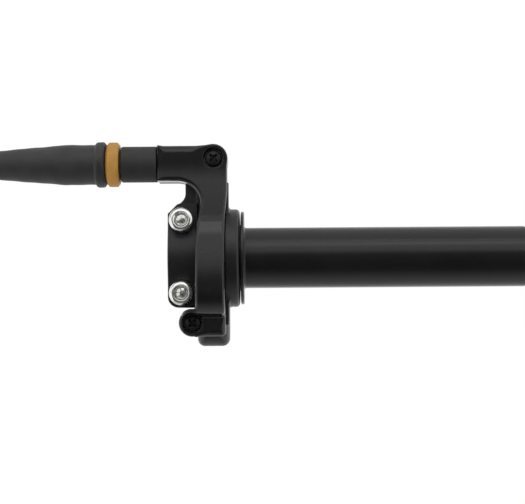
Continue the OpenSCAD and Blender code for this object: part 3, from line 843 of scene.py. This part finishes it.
def grey(value):
    """A nearly black or grey colour with a trace of blue."""
    return (value, value, value * 1.04)


MATERIALS = {
    "housing_paint": surface("housing_satin_black", "housing_paint", (grey(0.006), grey(0.01)),
                             (0.3, 0.42), grain=(1800, 0.006), cloud=90),
    "cover_gloss": surface("cover_gloss_black", "cover_gloss", (grey(0.0045), grey(0.006)),
                           (0.08, 0.15), grain=(700, 0.004), cloud=70),
    "black_steel": surface("black_oxide_steel", "black_steel", (grey(0.006), grey(0.012)),
                           (0.3, 0.5), metallic=0.3, grain=(3000, 0.01), cloud=400),
    "bolt_chrome": surface("polished_chrome", "bolt_chrome",
                           ((0.8, 0.8, 0.78), (0.92, 0.92, 0.9)), (0.06, 0.13), metallic=0.96,
                           grain=(1200, 0.006), cloud=500),
    "plain_steel": surface("ground_steel", "plain_steel", (grey(0.35), grey(0.5)), (0.22, 0.4),
                           metallic=1.0, grain=(2500, 0.006), cloud=300,
                           streak=(900, 0.004, (1, 0.08, 1))),
    "white_plastic": surface("white_nylon", "white_plastic",
                             ((0.68, 0.68, 0.63), (0.8, 0.8, 0.76)), (0.4, 0.55),
                             grain=(1500, 0.01), cloud=200),
    "sleeve_black": surface("sleeve_matte_black", "sleeve_black", (grey(0.011), grey(0.015)),
                            (0.5, 0.62), grain=(4000, 0.012), cloud=250),
    "bush_bronze": surface("sintered_bronze", "bush_bronze",
                           ((0.36, 0.22, 0.09), (0.55, 0.36, 0.16)), (0.35, 0.55), metallic=1.0,
                           grain=(3500, 0.02), cloud=900),
    "seal_rubber": surface("seal_black_rubber", "seal_rubber", (grey(0.008), grey(0.014)),
                           (0.55, 0.75), grain=(3000, 0.015), cloud=300),
    "seal_felt": surface("grey_felt", "seal_felt", (grey(0.05), grey(0.12)), (0.85, 1.0),
                         grain=(5000, 0.08), cloud=2500, sheen=0.3),
    "tube_plastic": surface("tube_satin_plastic", "tube_plastic", (grey(0.0035), grey(0.0055)),
                            (0.18, 0.27), grain=(2200, 0.003), cloud=40,
                            streak=(260, 0.012, (0.05, 1, 1))),
    "drum_plastic": surface("drum_acetal", "drum_plastic", ((0.5, 0.5, 0.47), (0.64, 0.64, 0.6)),
                            (0.3, 0.45), grain=(1800, 0.01), cloud=150),
    "gold_anodised": surface("gold_anodised_aluminium", "gold_anodised",
                             ((0.4, 0.2, 0.036), (0.455, 0.235, 0.046)), (0.4, 0.52),
                             metallic=0.2, grain=(2500, 0.004), cloud=300,
                             streak=(1400, 0.006, (1, 0.06, 0.06))),
    "boot_rubber": surface("boot_soft_rubber", "boot_rubber", (grey(0.013), grey(0.02)),
                           (0.48, 0.62), grain=(2600, 0.015), cloud=120,
                           streak=(350, 0.02, (0.25, 1, 1)), sheen=0.05),
}


def finish_piece(piece, body, slot, *nodes):
    """Gives a new piece its material and its body, and hides the CAD nodes that it stands for."""
    piece.data.materials.append(MATERIALS[slot])
    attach(piece, body)
    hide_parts(*nodes)


# ---------- the model ----------

for part in frame["record"]["subparts"]:
    mesh = NODES[part["node"]].data
    mesh.materials.clear()
    mesh.materials.append(MATERIALS[part["material_slot"]])

finish_piece(cast("front_cover_shell", front_cover, COVER_LOW, COVER_HIGH, 0.3),
             "housing", "cover_gloss", "front_cover")
finish_piece(cast("housing_front_casting", housing_front, FRONT_LOW, FRONT_HIGH, 0.34),
             "housing", "housing_paint", "housing_front")
finish_piece(cast("housing_rear_casting", housing_rear, REAR_LOW, REAR_HIGH, 0.36),
             "housing", "housing_paint", "housing_rear")
finish_piece(cast("cover_screw_pair", cover_screws, SCREW_LOW, SCREW_HIGH, 0.16),
             "housing", "black_steel", "cover_screws")
for bolt in clamp_bolts():
    finish_piece(bolt, "housing", "bolt_chrome", "clamp_bolts")
finish_piece(outlet_sleeve(), "housing", "sleeve_black", "outlet_sleeve")
finish_piece(throttle_tube(), "twist_tube", "tube_plastic", "throttle_tube")
finish_piece(lock_nut(), "lock_nut", "gold_anodised", "lock_nut")
finish_piece(cable_boot(), "boot", "boot_rubber", "cable_boot")


# ---------- floor, light and camera ----------

def plain_material(name, colour):
    material = bpy.data.materials.new(name)
    material.use_nodes = True
    shader = material.node_tree.nodes["Principled BSDF"]
    shader.inputs["Base Color"].default_value = (*colour, 1)
    shader.inputs["Roughness"].default_value = 0.9
    shader.inputs["Specular IOR Level"].default_value = 0.0
    return material


def stage_mesh(name, points, faces, colour):
    """A floor or a studio card, with its points in mm."""
    card = add_mesh(name, points, faces)
    card.data.materials.append(plain_material(name + "_paint", colour))
    return card


def add_floor():
    sides = ((-1, -1), (1, -1), (1, 1), (-1, 1))
    corners = [(FLOOR_HALF * x, FLOOR_HALF * y, FLOOR_Z) for x, y in sides]
    stage_mesh("floor", corners, [(0, 1, 2, 3)], FLOOR_WHITE)


def add_card(name, radius, shades):
    """A card curved round the bar's axis, which shows only as a reflection.

    shades lists (degrees above the -Y horizon, grey). Cards like this shade the reflections
    in round pieces, as in a product photograph.
    """
    angles = np.arange(shades[0][0], shades[-1][0] + CARD_STEP, CARD_STEP)
    levels = np.interp(angles, *zip(*shades))
    points, greys = [], []
    for angle, level in zip(np.radians(angles), levels):
        for x in CARD_ENDS:
            points.append((x, -radius * math.cos(angle), radius * math.sin(angle)))
            greys.extend((level, level, level, 1))
    faces = [(i, i + 1, i + 3, i + 2) for i in range(0, len(points) - 2, 2)]
    card = stage_mesh(name, points, faces, (0, 0, 0))
    card.data.color_attributes.new("shade", "FLOAT_COLOR", "POINT")
    card.data.color_attributes["shade"].data.foreach_set("color", greys)
    tree = card.data.materials[0].node_tree
    shade = tree.nodes.new("ShaderNodeVertexColor")
    shade.layer_name = "shade"
    tree.links.new(shade.outputs["Color"], tree.nodes["Principled BSDF"].inputs["Base Color"])
    card.visible_camera = False
    card.visible_diffuse = False
    card.visible_shadow = False


def add_softbox(name, place, size, power, aim=(0, 0, 0)):
    """An area light at a point in mm, facing aim."""
    light = bpy.data.lights.new(name, "AREA")
    light.shape = "RECTANGLE"
    light.size, light.size_y = size[0] * MM, size[1] * MM
    light.energy = power
    lamp = bpy.data.objects.new(name, light)
    bpy.context.scene.collection.objects.link(lamp)
    lamp.location = Vector(place) * MM
    lamp.rotation_euler = (Vector(aim) - Vector(place)).to_track_quat("-Z", "Y").to_euler()
    lamp.visible_camera = False


def add_sun():
    """Straight down, only to bring the floor up to the white of the background."""
    light = bpy.data.lights.new("floor_light", "SUN")
    light.energy = SUN_POWER
    light.angle = math.radians(SUN_ANGLE)
    lamp = bpy.data.objects.new("floor_light", light)
    bpy.context.scene.collection.objects.link(lamp)


def add_camera():
    """A long lens a little below the bar, level with it but for a slight roll."""
    elevation = math.radians(CAMERA_ELEVATION)
    roll = math.radians(CAMERA_ROLL)
    away = Vector((0, -math.cos(elevation), math.sin(elevation)))
    camera = bpy.data.cameras.new("camera")
    camera.lens = LENS
    camera.clip_start, camera.clip_end = 0.01, 50
    eye = bpy.data.objects.new("camera", camera)
    bpy.context.scene.collection.objects.link(eye)
    aim = (-away).to_track_quat("-Z", "Y") @ Matrix.Rotation(roll, 3, "Z").to_quaternion()
    eye.rotation_euler = aim.to_euler()
    eye.location = (Vector(CAMERA_TARGET) + away * CAMERA_DISTANCE) * MM
    bpy.context.scene.camera = eye


def light_world():
    world = bpy.data.worlds.new("studio")
    world.use_nodes = True
    sky = world.node_tree.nodes["Background"]
    sky.inputs["Color"].default_value = (1, 1, 1, 1)
    sky.inputs["Strength"].default_value = 1.0
    bpy.context.scene.world = world
    bpy.context.scene.view_settings.view_transform = "Standard"


add_floor()
add_card("front_card", FRONT_CARD_R, FRONT_SHADES)
add_card("ceiling_card", CEILING_CARD_R, CEILING_SHADES)
add_softbox("front_softbox", SOFTBOX_PLACE, SOFTBOX_SIZE, SOFTBOX_POWER)
light_world()
add_sun()
add_camera()
